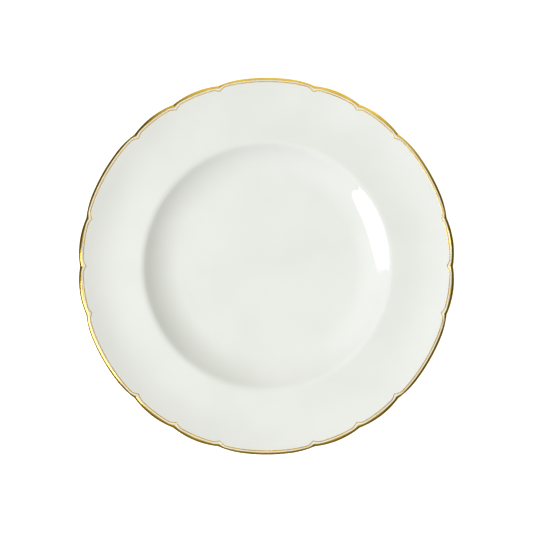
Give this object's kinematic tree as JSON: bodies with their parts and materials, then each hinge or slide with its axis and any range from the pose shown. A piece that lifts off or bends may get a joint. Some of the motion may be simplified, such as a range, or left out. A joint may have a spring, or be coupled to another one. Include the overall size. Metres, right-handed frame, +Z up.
{
  "type": "china dinner plate",
  "caption": "Round china dinner plate with a broad rim, a shallow well, a softly lobed gilt edge and a fine gilt line just inside it.",
  "frame": {"origin": "on the table, in the middle of the foot ring", "axes": "+Z up out of the well; +X runs through the middle notch of a group, where two short lobes meet, and +Y through the middle of a long lobe"},
  "size_m": [0.2688, 0.27, 0.0194],
  "materials": {
    "bone_china": "matt",
    "clear_glaze": "glossy",
    "burnished_gold": "polished"
  },
  "bodies": {
    "root": {"china_body": "bone_china", "face_glaze": "clear_glaze", "base_glaze": "clear_glaze", "gilt_edge_band": "burnished_gold", "gilt_fine_line": "burnished_gold"}
  },
  "joints": []
}
